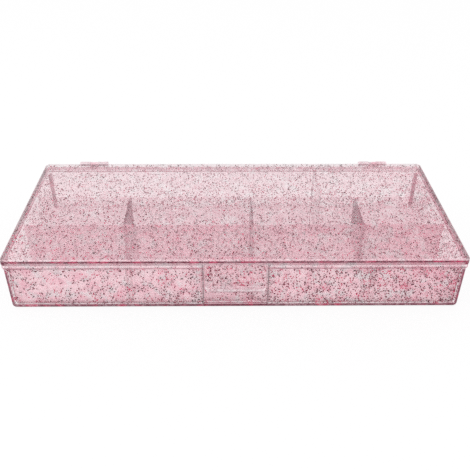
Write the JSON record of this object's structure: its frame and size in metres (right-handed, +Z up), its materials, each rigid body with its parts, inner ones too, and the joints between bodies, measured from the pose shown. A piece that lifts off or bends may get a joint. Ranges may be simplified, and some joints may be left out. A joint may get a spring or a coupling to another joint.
{
  "type": "mineral specimen box",
  "caption": "Flat hinged case of clear glitter plastic with rows of compartments, push-in dividers and a front tongue catch.",
  "frame": {"origin": "centre of the tray's underside, without the hinges", "axes": "+X along the case to the right seen from the front, +Y from the front catch to the hinges, +Z up"},
  "size_m": [0.3, 0.145, 0.04],
  "materials": {
    "clear_tray_plastic": "clear, with magenta glitter flakes through it",
    "clear_lid_plastic": "clear, with magenta glitter flakes through it",
    "divider_plastic": "clear and smooth, with a grey-pink tint",
    "pin_steel": "drawn steel wire"
  },
  "bodies": {
    "tray": {"tray": "clear_tray_plastic", "left_hinge_pin": "pin_steel", "right_hinge_pin": "pin_steel", "front_divider_left": "divider_plastic", "front_divider_centre": "divider_plastic", "front_divider_right": "divider_plastic", "middle_divider_left": "divider_plastic", "middle_divider_centre": "divider_plastic", "middle_divider_right": "divider_plastic", "rear_divider": "divider_plastic"},
    "lid": {"lid": "clear_lid_plastic"}
  },
  "joints": [
    {"name": "lid_hinge", "type": "hinge", "parent": "tray", "child": "lid", "pos_m": [0, 0.0713, 0.0372], "axis": [-1, 0, 0], "range_deg": [0, 110]}
  ]
}
